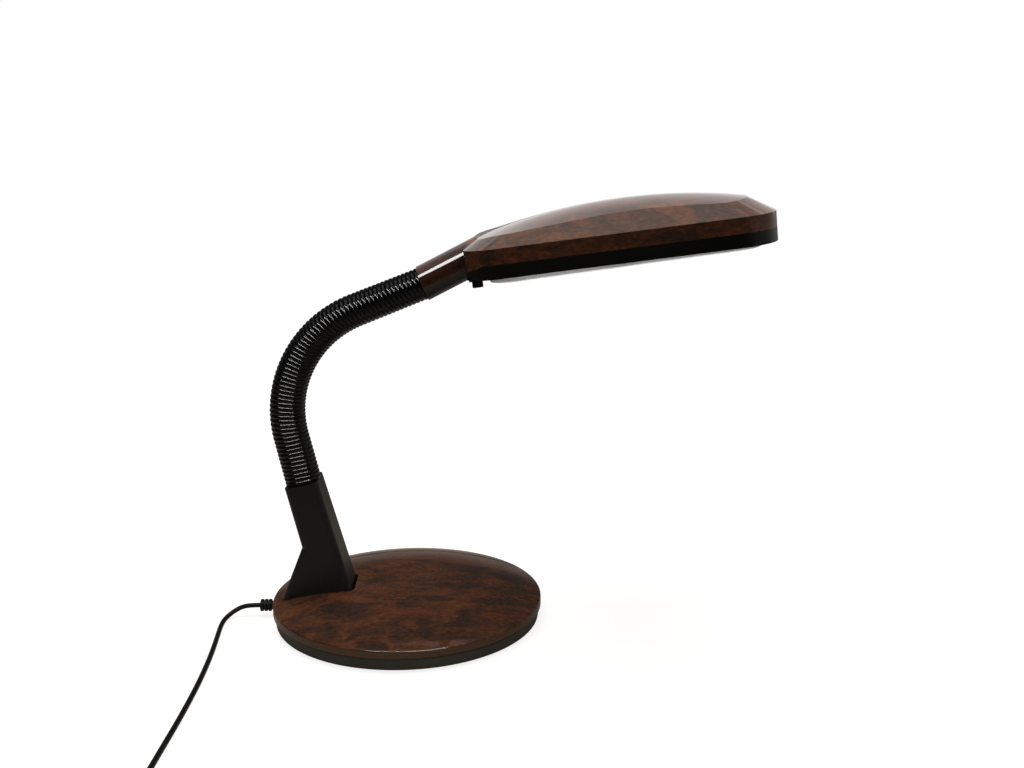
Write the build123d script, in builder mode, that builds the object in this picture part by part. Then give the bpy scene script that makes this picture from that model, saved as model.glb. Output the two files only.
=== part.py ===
from build123d import *
import math
import os

os.makedirs("parts", exist_ok=True)

# A desk lamp: an oval weighted base, a black boot that leans back, a ribbed
# gooseneck and a long hooded head with a fluorescent tube. Millimetres.
# The origin is the middle of the base on the table, +X is the way the head points.

# Base, from the table up
base_length = 240
base_width = 207.4
pad_height = 2
pad_inset = 9
pan_height = 10
pan_inset = 1.2
pan_wall = 2.6
cover_edge_height = 7.6
cover_crown = 12.6
crown_pull_shares = (0.7, 0.35)
cover_wall = 2.6
cover_rim_radius = 1.6
weight_height = 7
weight_gap = 9
base_screw_ring_share = 0.62
base_screw_radius = 2
base_screw_head_radius = 3.8
base_screw_head_height = 1.5
base_screw_length = 19
base_boss_radius = 5
base_screw_angles = (35, 145, 215, 325)

# Boot that carries the neck
boot_front_x = -46.5
boot_heel_x = -110
boot_ankle_x = -90.5
boot_ankle_height = 71
boot_heel_height = 23
boot_bottom_half_width = 18
boot_top_half_width = 16.4
boot_top_half_depth = 14.6
boot_wall = 4
boot_edge_radius = 5
boot_shoulder_depth = 26
boot_screw_radius = 2
boot_screw_head_radius = 3.6
boot_screw_head_height = 2
boot_screw_length = 9.5
boot_screw_x_shares = (0.25, 0.75)
boot_screw_y_share = 0.5
wire_hole_radius = 4

# Gooseneck: a straight run, a bend and a straight run
neck_foot = (-88.7, 128.5)
neck_lean = 102
neck_first_run = 40.5
neck_bend_radius = 97.2
neck_bend_turn = 80.6
neck_last_run = 60.9
sleeve_foot_radius = 15.6
sleeve_head_radius = 13.8
sleeve_groove_depth = 2.1
sleeve_bore_radius = 9.4
sleeve_land_length = 6
sleeve_land_bite = 0.9
rib_count = 64
rib_first_joint = 4
rib_joint_step = 8
rib_shares = (0.06, 0.24, 0.52, 0.70)
joint_count = 8
joint_gap = 3.8
link_radius = 7
link_bore_radius = 4.4
link_ball_radius = 8.6
link_nut_radius = 11
link_nut_height = 5
link_ring_radius = 8.8
link_ring_height = 1.6
link_ring_inset = 1.2

# Head, measured along and square to its own axis from the neck's end
head_pitch = 7.1
head_rear = 38.5
head_front = 294.6
head_half_width = 62
head_bottom = 2.6
head_parting = 13.6
head_wall_top = 26.1
head_front_radius = 120
head_front_corner = 38
head_rear_corner = 24
bevel_rise = 25.9
bevel_side_inset = 28.8
bevel_front_inset = 43
bevel_rear_inset = 46.3
bevel_front_corner = 24
bevel_rear_corner = 26
roof_top = 49.5
roof_middle = 175
roof_radius = 481
roof_half_length = 140
roof_half_width = 66
roof_bow = 18.7
roof_station_shares = (0, 0.16, 0.28, 0.5, 0.72, 0.84, 1)
roof_bow_shares = (0.1, 0.37, 0.75, 1, 0.73, 0.37, 0.1)
head_wall = 2.4
head_flange = 2.4
socket_tilt = 20
socket_radius = 14.8
socket_length = 60
socket_back = 8
socket_parting_drop = 5
socket_hole_depth = 60
light_rear = 78
light_front_inset = 22
light_half_width = 54
light_corner = 16
head_screw_boss_radius = 4.4
head_screw_radius = 1.5
head_screw_head_radius = 2.8
head_screw_head_height = 1.8
head_screw_length = 19
head_screw_rear = 62
head_screw_rear_side = 44
head_screw_front_inset = 11.5
head_screw_front_side = 17

# Diffuser, reflector, tube and ballast in the head
diffuser_rear = 56.5
diffuser_front_inset = 20
diffuser_half_width = 57.5
diffuser_corner = 22
diffuser_rear_drop = 4.2
diffuser_front_drop = 2
diffuser_edge_radius = 1.2
diffuser_wall = 1.6
diffuser_lip = 3
reflector_sheet = 0.8
reflector_top = 27
reflector_top_half_width = 30
reflector_rear = 79
reflector_length = 178
tube_radius = 6.25
tube_half_pitch = 7.6
tube_height = 16
tube_cap_rear = 73
tube_cap_length = 20
tube_cap_half_width = 16
tube_cap_half_height = 9
tube_length = 148
tube_bridge_radius = 3.4
tube_bridge_inset = 11
tube_tip_share = 0.9
tube_pin_radius = 1.1
tube_pin_length = 6
holder_length = 12
clip_place = 214
clip_length = 7
clip_half_width = 15.6
board_length = 104
board_half_width = 17
board_thickness = 1.6
board_rear = 112
spacer_height = 2.4
spacer_radius = 2.6
spacer_inset = 5
choke_size = (20, 17, 6.4)
choke_share = 0.3
capacitor_radius = 3
capacitor_length = 16
capacitor_share = 0.7

# Push switch under the back of the head
switch_middle = 45.6
switch_half_length = 6.8
switch_half_width = 7
switch_low = -3.4
switch_high = 2
switch_wall = 2
button_low = -9
button_high = -1.6
button_radius = 1.4
well_top = 1.2

# Terminal block in the base
block_length = 30
block_width = 16
block_height = 12
block_x = 20
block_hole_radius = 1.6
block_poles = 3

# Cord, its gland, its put-away coil and its plug
cord_radius = 2.1
cord_corner_share = 0.45
gland_height = 10.1
gland_radius = 3.8
gland_flange_radius = 5.4
gland_inner_flange = 1.4
gland_reach = 13
gland_rib_count = 3
gland_rib_width = 2
gland_rib_step = 3.6
coil_half_turns = 8
coil_outer_radius = 35
coil_gap = 0.6
coil_tail_radius = 21
coil_tail_run = 6
tie_width = 5
tie_thickness = 0.4
tie_gap = 0.2
plug_length = 26
plug_half_width = 12
plug_tail_length = 12
plug_tail_radius = 4
blade_length = 17.5
blade_width = 6.35
blade_thickness = 1.5
blade_spacing = 12.7

# The cord's free route over the table, chosen by hand
cord_route = [
    (-133, 0, 10.1),
    (-141.5, 0, 10.1),
    (-149.5, -0.4, 9.1),
    (-156.5, -1.8, 5.8),
    (-161.6, -6.5, 3.1),
    (-163.6, -14, 2.15),
    (-163.2, -26, 2.15),
    (-160.6, -46, 2.15),
    (-157.2, -78, 2.15),
    (-154.8, -118, 2.15),
    (-154.4, -164, 2.15),
    (-155.4, -206, 2.15),
    (-156, -256, 2.75),
    (-156, -284, 2.75),
]

# Clearances and cuts
fit_gap = 0.2
thread_gap = 0.1
ball_gap = 0.3
slide_gap = 0.25

# Heights and sizes that follow from the ones above
half_length = base_length / 2
width_share = base_width / base_length
pan_floor_top = pad_height + pan_wall
pan_top = pad_height + pan_height
cover_edge = pan_top + cover_edge_height
cover_top = cover_edge + cover_crown
weight_top = pan_floor_top + weight_height
weight_radius = half_length - pan_inset - pan_wall - weight_gap


def save(piece, name):
    piece.part.label = name
    export_step(piece.part, f"parts/{name}.step")


def cover_profile(wall):
    """Turned profile of the cover's outside, flat in the middle, drawn in by a wall."""
    edge = half_length - wall
    top = cover_top - wall
    outer_pull_share, inner_pull_share = crown_pull_shares
    with BuildSketch(Plane.XZ) as profile:
        with BuildLine():
            Line((0, pan_top), (edge, pan_top))
            Line((edge, pan_top), (edge, cover_edge - wall / 2))
            Bezier(
                (edge, cover_edge - wall / 2),
                (edge * outer_pull_share, top),
                (edge * inner_pull_share, top),
                (0, top),
            )
            Line((0, top), (0, pan_top))
        make_face()
        fillet(profile.vertices().group_by(Axis.X)[-1].sort_by(Axis.Y)[-1], cover_rim_radius)
    return profile.sketch


base_screw_places = []
for angle in base_screw_angles:
    ring = half_length * base_screw_ring_share
    turn = math.radians(angle)
    base_screw_places.append((ring * math.cos(turn), ring * width_share * math.sin(turn)))

# Soft pad under the whole base, with room for the screw heads
with BuildPart() as base_pad:
    with BuildSketch(Plane.XY):
        Ellipse(half_length - pad_inset, (half_length - pad_inset) * width_share)
    extrude(amount=pad_height)
    with BuildSketch(Plane.XY):
        with Locations(base_screw_places):
            Circle(base_screw_head_radius + slide_gap)
    extrude(amount=pad_height, mode=Mode.SUBTRACT)
save(base_pad, "base_pad")

# Dark pan that closes the base from below, with a notch for the cord's gland
gland_plane = Plane(origin=(-half_length, 0, gland_height), x_dir=(0, 1, 0), z_dir=(-1, 0, 0))
with BuildPart() as base_pan:
    with BuildSketch(Plane.XZ):
        with BuildLine():
            Polyline(
                (0, pad_height),
                (half_length - 2 * pan_inset, pad_height),
                (half_length - pan_inset, pan_top),
                (half_length - pan_inset - pan_wall, pan_top),
                (half_length - 2 * pan_inset - pan_wall, pan_floor_top),
                (0, pan_floor_top),
                close=True,
            )
        make_face()
    revolve(axis=Axis.Z)
    scale(by=(1, width_share, 1))
    with BuildSketch(Plane.XY):
        with Locations(base_screw_places):
            Circle(base_screw_radius + fit_gap)
    extrude(amount=pan_top, mode=Mode.SUBTRACT)
    with BuildSketch(gland_plane):
        Circle(gland_radius + fit_gap)
    extrude(amount=gland_reach, both=True, mode=Mode.SUBTRACT)
save(base_pan, "base_pan")

# Iron slab that keeps the lamp standing
boot_length = boot_front_x - boot_heel_x
boot_middle_x = (boot_front_x + boot_heel_x) / 2
boot_screw_places = []
for share in boot_screw_x_shares:
    for side in (-1, 1):
        boot_screw_places.append(
            (boot_heel_x + boot_length * share, side * boot_bottom_half_width * boot_screw_y_share)
        )
with BuildPart() as base_weight:
    with BuildSketch(Plane.XY.offset(pan_floor_top)):
        Ellipse(weight_radius, weight_radius * width_share)
    extrude(amount=weight_height)
    with BuildSketch(Plane.XY.offset(pan_floor_top)):
        with Locations(base_screw_places):
            Circle(base_screw_radius + fit_gap)
        with Locations(boot_screw_places):
            Circle(boot_screw_radius + fit_gap)
    extrude(amount=weight_height, mode=Mode.SUBTRACT)
    with BuildSketch(Plane.XY.offset(pan_floor_top)):
        with Locations(boot_screw_places):
            Circle(boot_screw_head_radius + fit_gap)
    extrude(amount=boot_screw_head_height + fit_gap, mode=Mode.SUBTRACT)
save(base_weight, "base_weight")

# Wood-print cover: a thin crowned shell with four screw bosses inside
with BuildPart() as cover_inside:
    revolve(cover_profile(cover_wall), axis=Axis.Z)
    with BuildSketch(Plane.XY.offset(weight_top)):
        with Locations([(x, y / width_share) for x, y in base_screw_places]):
            Circle(base_boss_radius)
    extrude(amount=cover_top, mode=Mode.SUBTRACT)
    scale(by=(1, width_share, 1))
with BuildPart() as base_cover:
    revolve(cover_profile(0), axis=Axis.Z)
    scale(by=(1, width_share, 1))
    add(cover_inside.part, mode=Mode.SUBTRACT)
    with BuildSketch(Plane.XY.offset(weight_top)):
        with Locations(base_screw_places):
            Circle(base_screw_radius + thread_gap)
    extrude(amount=base_screw_length - weight_height, mode=Mode.SUBTRACT)
    with BuildSketch(Plane.XY.offset(weight_top)):
        with Locations((boot_middle_x, 0)):
            RectangleRounded(
                boot_length + 2 * fit_gap, 2 * (boot_bottom_half_width + fit_gap), boot_edge_radius
            )
    extrude(amount=cover_top, mode=Mode.SUBTRACT)
    with BuildSketch(gland_plane):
        Circle(gland_radius + fit_gap)
    extrude(amount=gland_reach, both=True, mode=Mode.SUBTRACT)
save(base_cover, "base_cover")

# Four screws that clamp pan, slab and cover
with BuildPart() as base_screws:
    with BuildSketch(Plane.XY.offset(pad_height)):
        with Locations(base_screw_places):
            Circle(base_screw_head_radius)
    extrude(amount=-base_screw_head_height)
    with BuildSketch(Plane.XY.offset(pad_height)):
        with Locations(base_screw_places):
            Circle(base_screw_radius)
    extrude(amount=base_screw_length)
save(base_screws, "base_screws")


def neck_place(distance):
    """Plane square to the neck's line at a distance along it, X across the lamp."""
    x, z = neck_foot
    heading = math.radians(neck_lean)
    first = min(distance, neck_first_run)
    x += first * math.cos(heading)
    z += first * math.sin(heading)
    bend_length = math.radians(neck_bend_turn) * neck_bend_radius
    along_bend = max(0, min(distance - neck_first_run, bend_length))
    turned = heading - along_bend / neck_bend_radius
    x += neck_bend_radius * (math.sin(heading) - math.sin(turned))
    z += neck_bend_radius * (math.cos(turned) - math.cos(heading))
    last = max(0, distance - neck_first_run - bend_length)
    x += last * math.cos(turned)
    z += last * math.sin(turned)
    return Plane(origin=(x, 0, z), x_dir=(0, 1, 0), z_dir=(math.cos(turned), 0, math.sin(turned)))


neck_length = neck_first_run + math.radians(neck_bend_turn) * neck_bend_radius + neck_last_run
rib_pitch = neck_length / rib_count
neck_start = neck_place(0)
neck_end = neck_place(neck_length)
pivot_distances = [rib_pitch * (rib_first_joint + rib_joint_step * k) for k in range(joint_count)]
pivots = [neck_place(distance).origin for distance in pivot_distances]

# Black boot: a leaning hollow moulding with a flat top square to the neck
front_top_x = neck_start.origin.X + boot_top_half_depth * neck_start.z_dir.Z
front_top_height = neck_start.origin.Z - boot_top_half_depth * neck_start.z_dir.X
front_rise_share = (boot_ankle_height - boot_heel_height) / (front_top_height - boot_heel_height)
boot_ankle_front_x = boot_front_x + (front_top_x - boot_front_x) * front_rise_share
boot_ankle_half_width = (
    boot_bottom_half_width + (boot_top_half_width - boot_bottom_half_width) * front_rise_share
)
boot_levels = [
    (weight_top, boot_heel_x, boot_front_x, boot_bottom_half_width),
    (boot_heel_height, boot_heel_x, boot_front_x, boot_bottom_half_width),
    (boot_ankle_height, boot_ankle_x, boot_ankle_front_x, boot_ankle_half_width),
]


def boot_section(level, wall):
    """Rounded outline of the boot at a level, drawn in by a wall."""
    height, rear, front, half_width = level
    lift = wall if height == weight_top else 0
    place = Plane(origin=((rear + front) / 2, 0, height + lift), x_dir=(0, 1, 0), z_dir=(0, 0, 1))
    with BuildSketch(place) as section:
        RectangleRounded(2 * (half_width - wall), front - rear - 2 * wall, boot_edge_radius - wall)
    return section.sketch


def boot_top_section(depth, wall):
    """Rounded outline of the boot square to the neck, below its top."""
    with BuildSketch(neck_start.offset(-depth)) as section:
        RectangleRounded(
            2 * (boot_top_half_width - wall), 2 * (boot_top_half_depth - wall), boot_edge_radius - wall
        )
    return section.sketch


with BuildPart() as boot_hollow:
    hollow_sections = [boot_section(level, boot_wall) for level in boot_levels]
    loft(hollow_sections + [boot_top_section(boot_shoulder_depth, boot_wall)], ruled=True)
with BuildPart() as boot:
    loft([boot_section(level, 0) for level in boot_levels] + [boot_top_section(0, 0)], ruled=True)
    add(boot_hollow.part, mode=Mode.SUBTRACT)
    with BuildSketch(neck_start):
        Circle(link_radius + fit_gap)
    extrude(amount=-boot_shoulder_depth - boot_wall, mode=Mode.SUBTRACT)
    with BuildSketch(Plane.XY.offset(weight_top)):
        with Locations(boot_screw_places):
            Circle(boot_screw_radius + thread_gap)
        with Locations((boot_middle_x, 0)):
            Circle(wire_hole_radius)
    extrude(amount=boot_wall, mode=Mode.SUBTRACT)
save(boot, "boot")

with BuildPart() as boot_screws:
    with BuildSketch(Plane.XY.offset(pan_floor_top)):
        with Locations(boot_screw_places):
            Circle(boot_screw_head_radius)
    extrude(amount=boot_screw_head_height)
    with BuildSketch(Plane.XY.offset(pan_floor_top)):
        with Locations(boot_screw_places):
            Circle(boot_screw_radius)
    extrude(amount=boot_screw_length)
save(boot_screws, "boot_screws")

# Nut under the boot's shoulder that holds the neck's foot
with BuildPart() as neck_nut:
    with BuildSketch(neck_start.offset(-boot_shoulder_depth)):
        RegularPolygon(link_nut_radius, 6)
        Circle(link_radius + thread_gap, mode=Mode.SUBTRACT)
    extrude(amount=-link_nut_height)
save(neck_nut, "neck_nut")

# Wire terminal block on the slab
with BuildPart() as terminal_block:
    with BuildSketch(Plane.XY.offset(weight_top)):
        with Locations((block_x, 0)):
            Rectangle(block_width, block_length)
    extrude(amount=block_height)
    with BuildSketch(Plane.YZ.offset(block_x)):
        with Locations((0, weight_top + block_height / 2)):
            with GridLocations(block_length / block_poles, 0, block_poles, 1):
                Circle(block_hole_radius)
    extrude(amount=block_width, both=True, mode=Mode.SUBTRACT)
save(terminal_block, "terminal_block")

# Ribbed rubber gland in the back edge of the base
gland_end = -half_length - gland_reach
gland_inside = -half_length + 2 * pan_inset + pan_wall + fit_gap
with BuildPart() as cord_gland:
    with BuildSketch(Plane.YZ.offset(gland_inside)):
        with Locations((0, gland_height)):
            Circle(gland_flange_radius)
    extrude(amount=gland_inner_flange)
    with BuildSketch(Plane.YZ.offset(gland_end)):
        with Locations((0, gland_height)):
            Circle(gland_radius)
    extrude(amount=gland_inside - gland_end)
    for rib in range(gland_rib_count):
        rib_place = gland_end + fit_gap + gland_rib_step * rib
        with BuildSketch(Plane.YZ.offset(rib_place)):
            with Locations((0, gland_height)):
                Circle(gland_flange_radius)
        extrude(amount=gland_rib_width)
save(cord_gland, "cord_gland")


def sleeve_radius(distance):
    """Outer radius of the ribbed sleeve, which narrows towards the head."""
    share = distance / neck_length
    return sleeve_foot_radius + (sleeve_head_radius - sleeve_foot_radius) * share


# The neck's inner links: straight conduit pieces with ball and cup ends
bounds = [0] + pivot_distances + [neck_length]
ball_reach = math.sqrt(link_ball_radius**2 - link_radius**2) + ball_gap
for number in range(joint_count + 1):
    is_first = number == 0
    is_last = number == joint_count
    low_point = neck_start.origin if is_first else pivots[number - 1]
    high_point = neck_end.origin if is_last else pivots[number]
    along = high_point - low_point
    link_length = along.length
    link_plane = Plane(origin=low_point, x_dir=Vector(0, 1, 0).cross(along), z_dir=along)
    side = Plane(origin=low_point, x_dir=link_plane.x_dir, z_dir=-link_plane.y_dir)
    low = -boot_shoulder_depth - link_nut_height - boot_wall if is_first else 0
    high = link_length + socket_hole_depth if is_last else link_length + link_ball_radius
    with BuildPart(link_plane.offset(link_length)) as ball_end:
        Cylinder(2 * link_radius, 2 * link_length, align=(Align.CENTER, Align.CENTER, Align.MAX))
        Sphere(link_ball_radius)
    with BuildPart() as neck_link:
        with BuildSketch(link_plane.offset(low)):
            Circle(link_radius)
            Circle(link_bore_radius, mode=Mode.SUBTRACT)
        extrude(amount=high - low)
        if not is_first:
            with BuildSketch(side):
                Circle(link_ball_radius + ball_gap)
                split(bisect_by=Plane.YZ, keep=Keep.TOP)
            revolve(axis=Axis(low_point, link_plane.z_dir), mode=Mode.SUBTRACT)
        if not is_last:
            add(ball_end.part, mode=Mode.INTERSECT)
    save(neck_link, f"neck_link_{number}")

    # The ribbed sleeve over this link, with a land inside that sits on it
    sleeve_low = bounds[number] + (0 if is_first else joint_gap / 2)
    sleeve_high = bounds[number + 1] - (0 if is_last else joint_gap / 2)
    ribs = round((bounds[number + 1] - bounds[number]) / rib_pitch)
    pitch = (sleeve_high - sleeve_low) / ribs
    with BuildPart() as neck_sleeve:
        for rib in range(ribs):
            for step, share in enumerate(rib_shares):
                distance = sleeve_low + pitch * (rib + share)
                if rib == 0 and step == 0:
                    distance = sleeve_low
                if rib == ribs - 1 and step == len(rib_shares) - 1:
                    distance = sleeve_high
                depth = sleeve_groove_depth if step in (0, len(rib_shares) - 1) else 0
                with BuildSketch(neck_place(distance)):
                    Circle(sleeve_radius(distance) - depth)
        loft(ruled=True)
        for rib in range(ribs + 1):
            with BuildSketch(neck_place(sleeve_low + pitch * rib)):
                Circle(sleeve_bore_radius)
        loft(ruled=True, mode=Mode.SUBTRACT)
        land_start = (sleeve_low + sleeve_high - sleeve_land_length) / 2
        land_start = max(land_start, bounds[number] + ball_reach)
        ahead = (neck_place(land_start).origin - low_point).dot(link_plane.z_dir)
        with BuildSketch(link_plane.offset(ahead)):
            Circle(sleeve_bore_radius + sleeve_land_bite)
            Circle(link_radius + fit_gap, mode=Mode.SUBTRACT)
        extrude(amount=sleeve_land_length)
    save(neck_sleeve, f"neck_sleeve_{number}")

# The head's own plane: X along the head, Y across it, Z square to its rim
pitch_turn = math.radians(head_pitch)
head = Plane(
    origin=neck_end.origin,
    x_dir=(math.cos(pitch_turn), 0, math.sin(pitch_turn)),
    z_dir=(-math.sin(pitch_turn), 0, math.cos(pitch_turn)),
)
head_side = Plane(origin=head.origin, x_dir=head.x_dir, z_dir=-head.y_dir)
socket_turn = math.radians(head_pitch + socket_tilt)
socket = Plane(
    origin=head.origin,
    x_dir=(0, 1, 0),
    z_dir=(math.cos(socket_turn), 0, math.sin(socket_turn)),
)


def head_across(along):
    """Plane square to the head's axis, X across the head and Y up."""
    return Plane(origin=head.from_local_coords((along, 0, 0)), x_dir=head.y_dir, z_dir=head.x_dir)


def head_outline(height, side, front, rear, front_corner, rear_corner):
    """The head's plan at a height, drawn in at its sides, front and rear."""
    half = head_half_width - side
    tip = head_front - front
    back = head_rear + rear
    sag = head_front_radius - math.sqrt(head_front_radius**2 - half**2)
    with BuildSketch(head.offset(height)) as plan:
        with BuildLine():
            Line((back, -half), (tip - sag, -half))
            ThreePointArc((tip - sag, -half), (tip, 0), (tip - sag, half))
            Line((tip - sag, half), (back, half))
            Line((back, half), (back, -half))
        make_face()
        fillet(plan.vertices().sort_by(Axis.X)[:2], rear_corner)
        fillet(plan.vertices().sort_by(Axis.X)[-2:], front_corner)
    return plan.sketch


def roof_form(wall):
    """Everything under the head's bowed roof, lowered by a wall."""
    with BuildPart() as roof:
        for station_share, bow_share in zip(roof_station_shares, roof_bow_shares):
            ahead = roof_half_length * (2 * station_share - 1)
            crest = roof_top - wall - roof_radius + math.sqrt(roof_radius**2 - ahead**2)
            edge = crest - roof_bow * bow_share
            with BuildSketch(head_across(roof_middle + ahead)):
                with BuildLine():
                    ThreePointArc((-roof_half_width, edge), (0, crest), (roof_half_width, edge))
                    Line((roof_half_width, edge), (roof_half_width, 0))
                    Line((roof_half_width, 0), (-roof_half_width, 0))
                    Line((-roof_half_width, 0), (-roof_half_width, edge))
                make_face()
        loft()
    return roof.part


def head_form(wall):
    """The head's body with its bevel and bowed roof, drawn in by a wall."""
    low = head_bottom + (head_flange if wall else 0)
    shoulder = head_wall_top - wall / 2
    corners = (head_front_corner - wall, head_rear_corner - wall)
    bevel_insets = (bevel_side_inset + wall, bevel_front_inset + wall, bevel_rear_inset + wall)
    bevel_corners = (bevel_front_corner - wall, bevel_rear_corner - wall)
    foot = head_outline(shoulder, wall, wall, wall, *corners)
    peak = head_outline(shoulder + bevel_rise, *bevel_insets, *bevel_corners)
    with BuildPart() as form:
        extrude(head_outline(low, wall, wall, wall, *corners), amount=shoulder - low)
        loft([foot, peak], ruled=True)
        add(roof_form(wall), mode=Mode.INTERSECT)
    return form.part


head_screw_places = []
for side in (-1, 1):
    head_screw_places.append((head_screw_rear, side * head_screw_rear_side))
    head_screw_places.append((head_front - head_screw_front_inset, side * head_screw_front_side))

# Room inside the head, less the four screw bosses
with BuildPart() as head_room:
    add(head_form(head_wall))
    with BuildSketch(head.offset(head_bottom)):
        with Locations(head_screw_places):
            Circle(head_screw_boss_radius)
    extrude(amount=roof_top, mode=Mode.SUBTRACT)

# Walls of the whole head: body, neck socket, light opening and holes
with BuildPart() as head_walls:
    add(head_form(0))
    with BuildSketch(socket.offset(-socket_back)):
        Circle(socket_radius)
    extrude(amount=socket_back + socket_length)
    split(bisect_by=neck_end, keep=Keep.TOP)
    add(head_room.part, mode=Mode.SUBTRACT)
    with BuildSketch(neck_end):
        Circle(link_radius + fit_gap)
    extrude(amount=socket_hole_depth + link_ring_inset, mode=Mode.SUBTRACT)
    light_length = head_front - light_front_inset - light_rear
    with BuildSketch(head.offset(head_bottom)):
        with Locations((light_rear + light_length / 2, 0)):
            RectangleRounded(light_length, 2 * light_half_width, light_corner)
    extrude(amount=head_flange, mode=Mode.SUBTRACT)
    with BuildSketch(head.offset(head_bottom)):
        with Locations(head_screw_places):
            Circle(head_screw_radius + thread_gap)
    extrude(amount=head_screw_head_height + head_screw_length + fit_gap, mode=Mode.SUBTRACT)
    with BuildSketch(head.offset(head_bottom)):
        with Locations(head_screw_places):
            Circle(head_screw_head_radius + fit_gap)
    extrude(amount=head_screw_head_height + fit_gap, mode=Mode.SUBTRACT)
    with BuildSketch(head.offset(switch_high)):
        with Locations((switch_middle, 0)):
            Rectangle(2 * (switch_half_length + fit_gap), 2 * (switch_half_width + fit_gap))
    extrude(amount=button_low - switch_high, mode=Mode.SUBTRACT)

# Everything under the parting line between the wood-print hood and the black frame
socket_slope = math.tan(math.radians(socket_tilt))
socket_drop = socket_parting_drop / math.cos(math.radians(socket_tilt))
parting_start = -socket_back * 2
parting_meet = (head_parting + socket_drop) / socket_slope
parting_stop = head_front + head_wall_top
parting_floor = -socket_radius * 3
with BuildPart() as under_parting:
    with BuildSketch(head_side):
        with BuildLine():
            Polyline(
                (parting_start, parting_start * socket_slope - socket_drop),
                (parting_meet, head_parting),
                (parting_stop, head_parting),
                (parting_stop, parting_floor),
                (parting_start, parting_floor),
                close=True,
            )
        make_face()
    extrude(amount=2 * head_half_width, both=True)

with BuildPart() as head_hood:
    add(head_walls.part)
    add(under_parting.part, mode=Mode.SUBTRACT)
save(head_hood, "head_hood")

with BuildPart() as head_frame:
    add(head_walls.part)
    add(under_parting.part, mode=Mode.INTERSECT)
save(head_frame, "head_frame")

with BuildPart() as head_screws:
    screw_base = head.offset(head_bottom)
    with BuildSketch(screw_base):
        with Locations(head_screw_places):
            Circle(head_screw_head_radius)
    extrude(amount=head_screw_head_height)
    with BuildSketch(screw_base):
        with Locations(head_screw_places):
            Circle(head_screw_radius)
    extrude(amount=head_screw_head_height + head_screw_length)
save(head_screws, "head_screws")

# Spring ring on the neck's end inside the head
ring_plane = neck_end.offset(socket_hole_depth - link_ring_inset - link_ring_height)
with BuildPart() as neck_ring:
    with BuildSketch(ring_plane):
        Circle(link_ring_radius)
        Circle(link_radius + thread_gap, mode=Mode.SUBTRACT)
    extrude(amount=link_ring_height)
save(neck_ring, "neck_ring")

# Frosted diffuser: a pane under the frame, deeper at its back, held by a lip inside
lip_base = head_bottom + head_flange
light_middle = light_rear + light_length / 2
tray_length = light_length - 2 * fit_gap
tray_width = 2 * (light_half_width - fit_gap)
lip_grow = 2 * diffuser_lip
pane_top = head_bottom - fit_gap
pane_front = head_front - diffuser_front_inset
pane_rear_low = head.from_local_coords((diffuser_rear, 0, pane_top - diffuser_rear_drop))
pane_front_low = head.from_local_coords((pane_front, 0, pane_top - diffuser_front_drop))
pane_slope = pane_front_low - pane_rear_low
with BuildPart() as diffuser:
    with BuildSketch(head.offset(pane_top)):
        with Locations(((diffuser_rear + pane_front) / 2, 0)):
            RectangleRounded(pane_front - diffuser_rear, 2 * diffuser_half_width, diffuser_corner)
    extrude(amount=-diffuser_rear_drop)
    pane_under = Plane(origin=pane_rear_low, x_dir=pane_slope, z_dir=pane_slope.cross(head.y_dir))
    split(bisect_by=pane_under, keep=Keep.TOP)
    fillet(diffuser.faces().sort_by(Axis(head.origin, head.z_dir))[0].edges(), diffuser_edge_radius)
    with BuildSketch(head.offset(pane_top)):
        with Locations((light_middle, 0)):
            RectangleRounded(tray_length, tray_width, light_corner)
    extrude(amount=lip_base - pane_top)
    with BuildSketch(head.offset(lip_base)):
        with Locations((light_middle, 0)):
            RectangleRounded(tray_length + lip_grow, tray_width + lip_grow, light_corner + diffuser_lip)
    extrude(amount=diffuser_wall)
    with BuildSketch(head.offset(lip_base + diffuser_wall)):
        with Locations((light_middle, 0)):
            RectangleRounded(
                tray_length - 2 * diffuser_wall,
                tray_width - 2 * diffuser_wall,
                light_corner - diffuser_wall,
            )
    extrude(amount=pane_top - lip_base - diffuser_wall, mode=Mode.SUBTRACT)
save(diffuser, "diffuser")

# Bent sheet reflector standing on the diffuser's lip
reflector_foot = lip_base + diffuser_wall
reflector_foot_half = light_half_width + diffuser_lip - fit_gap - reflector_sheet * 2
with BuildPart() as reflector:
    with BuildSketch(head_across(reflector_rear)):
        with BuildLine():
            Polyline(
                (-reflector_foot_half, reflector_foot),
                (-reflector_top_half_width, reflector_top),
                (reflector_top_half_width, reflector_top),
                (reflector_foot_half, reflector_foot),
                (reflector_foot_half - reflector_sheet * 2, reflector_foot),
                (reflector_top_half_width - reflector_sheet, reflector_top - reflector_sheet),
                (reflector_sheet - reflector_top_half_width, reflector_top - reflector_sheet),
                (reflector_sheet * 2 - reflector_foot_half, reflector_foot),
                close=True,
            )
        make_face()
    extrude(amount=reflector_length)
save(reflector, "reflector")

# Lamp holder on the frame's rear deck, with sockets for the tube's pins
pin_places = [(-tube_half_pitch, tube_height), (tube_half_pitch, tube_height)]
with BuildPart() as lamp_holder:
    with BuildSketch(head_across(tube_cap_rear - holder_length)):
        with Locations((0, (lip_base + tube_height + tube_cap_half_height) / 2)):
            Rectangle(2 * tube_cap_half_width, tube_height + tube_cap_half_height - lip_base)
    extrude(amount=holder_length)
    with BuildSketch(head_across(tube_cap_rear)):
        with Locations(pin_places):
            Circle(tube_pin_radius + thread_gap)
    extrude(amount=-tube_pin_length - fit_gap, mode=Mode.SUBTRACT)
save(lamp_holder, "lamp_holder")

with BuildPart() as tube_cap:
    with BuildSketch(head_across(tube_cap_rear)):
        with Locations((0, tube_height)):
            RectangleRounded(2 * tube_cap_half_width, 2 * tube_cap_half_height, tube_cap_half_height / 2)
    extrude(amount=tube_cap_length)
save(tube_cap, "tube_cap")

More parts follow.
